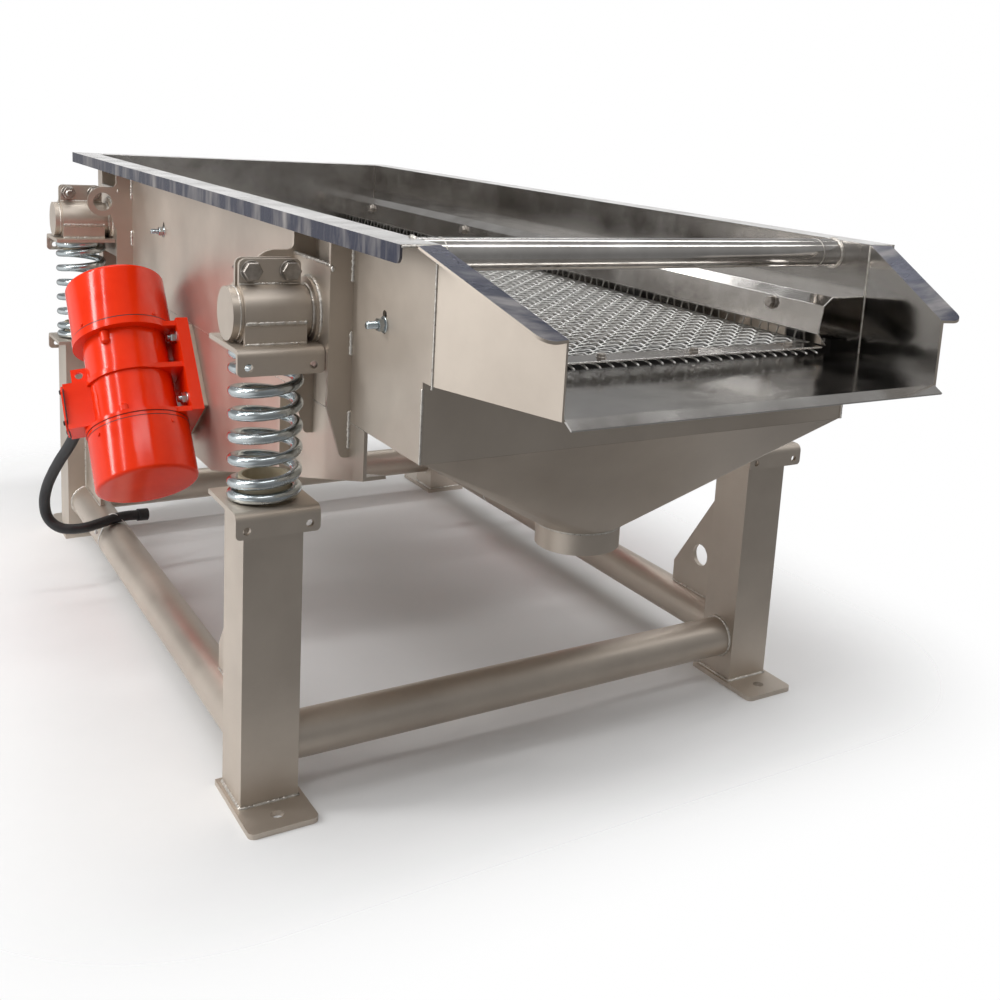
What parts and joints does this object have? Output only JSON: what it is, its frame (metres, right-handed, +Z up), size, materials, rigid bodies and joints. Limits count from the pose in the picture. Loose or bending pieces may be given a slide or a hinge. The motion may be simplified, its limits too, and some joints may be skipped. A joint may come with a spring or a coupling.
{
  "type": "vibrating screen",
  "caption": "Linear vibrating screen: an open sheet-steel box with a mesh deck, chute and hopper, carried on coil springs over a welded tube frame and shaken by side motors.",
  "frame": {"origin": "on the floor, in the middle of the four anchor holes", "axes": "+X across the machine to the right seen from the discharge end, +Y towards the feed end, +Z up"},
  "size_m": [1.421, 2.461, 1],
  "materials": {
    "blasted_steel": "bead-blasted satin",
    "polished_steel": "mirror-polished",
    "zinc_spring": "bright zinc plate",
    "guide_plastic": "matt",
    "red_paint": "gloss paint",
    "black_conduit": "satin"
  },
  "bodies": {
    "root": {"front_left_leg": "blasted_steel", "front_right_leg": "blasted_steel", "rear_left_leg": "blasted_steel", "rear_right_leg": "blasted_steel", "foot_plates": "blasted_steel", "lower_spring_seats": "blasted_steel", "lifting_gussets": "blasted_steel", "front_cross_tube": "blasted_steel", "rear_cross_tube": "blasted_steel", "left_side_tube": "blasted_steel", "right_side_tube": "blasted_steel", "front_left_spring": "zinc_spring", "front_right_spring": "zinc_spring", "rear_left_spring": "zinc_spring", "rear_right_spring": "zinc_spring", "spring_guides": "guide_plastic", "front_left_spring_bracket": "blasted_steel", "front_right_spring_bracket": "blasted_steel", "rear_left_spring_bracket": "blasted_steel", "rear_right_spring_bracket": "blasted_steel", "trunnions": "blasted_steel", "front_left_pillar": "blasted_steel", "front_right_pillar": "blasted_steel", "rear_left_pillar": "blasted_steel", "rear_right_pillar": "blasted_steel", "left_side_wall": "blasted_steel", "right_side_wall": "blasted_steel", "rear_wall": "blasted_steel", "left_motor_plate": "blasted_steel", "right_motor_plate": "blasted_steel", "undersize_pan": "blasted_steel", "deck_support_bars": "blasted_steel", "screen_mesh": "polished_steel", "front_clamp_bar": "polished_steel", "left_hold_down_cover": "polished_steel", "right_hold_down_cover": "polished_steel", "front_cross_pipe": "polished_steel", "chute_floor": "polished_steel", "left_chute_side": "blasted_steel", "right_chute_side": "blasted_steel", "hopper_collar": "blasted_steel", "hopper_cone": "blasted_steel", "hopper_spout": "blasted_steel", "left_motor_body": "red_paint", "right_motor_body": "red_paint", "left_motor_covers": "red_paint", "right_motor_covers": "red_paint", "motor_bases": "blasted_steel", "terminal_boxes": "red_paint", "left_motor_cable": "black_conduit", "right_motor_cable": "black_conduit", "left_cable_bush": "black_conduit", "right_cable_bush": "black_conduit"}
  },
  "joints": []
}
